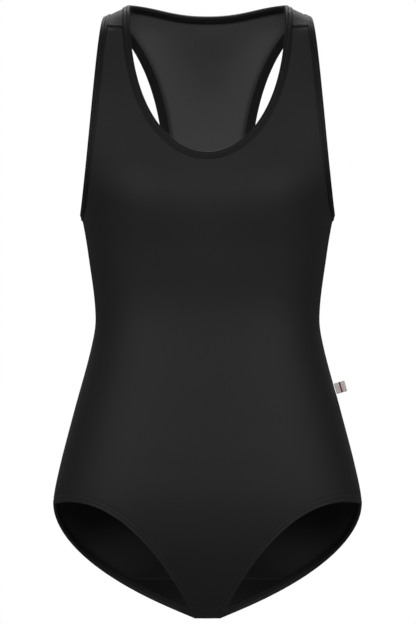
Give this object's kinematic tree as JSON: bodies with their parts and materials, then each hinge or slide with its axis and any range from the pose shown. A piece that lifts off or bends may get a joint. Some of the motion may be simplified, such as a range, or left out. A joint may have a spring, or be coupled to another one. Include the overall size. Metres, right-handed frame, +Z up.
{
  "type": "gymnastics leotard",
  "caption": "Sleeveless racerback gymnastics leotard in stretch knit, with a bound scoop neck, bound armholes and turned, elasticated leg edges, in its worn shape.",
  "frame": {"origin": "hang point, midway between the tops of the two shoulder straps", "axes": "+Z up along the body, front towards -Y, wearer's left towards +X"},
  "size_m": [0.3226, 0.2305, 0.6397],
  "materials": {
    "knit": "matt stretch knit with a faint soft sheen",
    "binding": "folded strip of the same knit",
    "elastic": "woven flat elastic",
    "thread": "twisted polyester thread",
    "overlock": "overlocked cut edges",
    "tape": "woven stay tape",
    "lining": "fine brushed lining knit",
    "ribbon": "woven satin ribbon",
    "label": "satin label cloth"
  },
  "bodies": {
    "garment": {"front_panel": "knit", "back_panel": "knit", "neck_binding": "binding", "neck_elastic": "elastic", "neck_stitching": "thread", "armhole_binding_left": "binding", "armhole_binding_right": "binding", "armhole_elastic_left": "elastic", "armhole_elastic_right": "elastic", "armhole_stitching_left": "thread", "armhole_stitching_right": "thread", "leg_hem_left": "knit", "leg_hem_right": "knit", "leg_elastic_left": "elastic", "leg_elastic_right": "elastic", "leg_stitching_1_left": "thread", "leg_stitching_1_right": "thread", "leg_stitching_2_left": "thread", "leg_stitching_2_right": "thread", "side_seam_left": "overlock", "side_seam_right": "overlock", "shoulder_seam_left": "overlock", "shoulder_seam_right": "overlock", "shoulder_tape_left": "tape", "shoulder_tape_right": "tape", "crotch_seam": "overlock", "gusset_lining": "lining"},
    "tag": {"side_tag": "ribbon"},
    "label": {"care_label": "label"}
  },
  "joints": [
    {"name": "tag_flap", "type": "hinge", "parent": "garment", "child": "tag", "pos_m": [0.13293, -0.00044, -0.39184], "axis": [-0.2735, 0, 0.9619], "range_deg": [-80, 80], "stiffness_Nm_per_rad": 0.0001},
    {"name": "label_flap", "type": "hinge", "parent": "garment", "child": "label", "pos_m": [-0.1139, -0.00052, -0.318], "axis": [0, 0, 1], "range_deg": [-120, 10], "stiffness_Nm_per_rad": 0.0001}
  ]
}
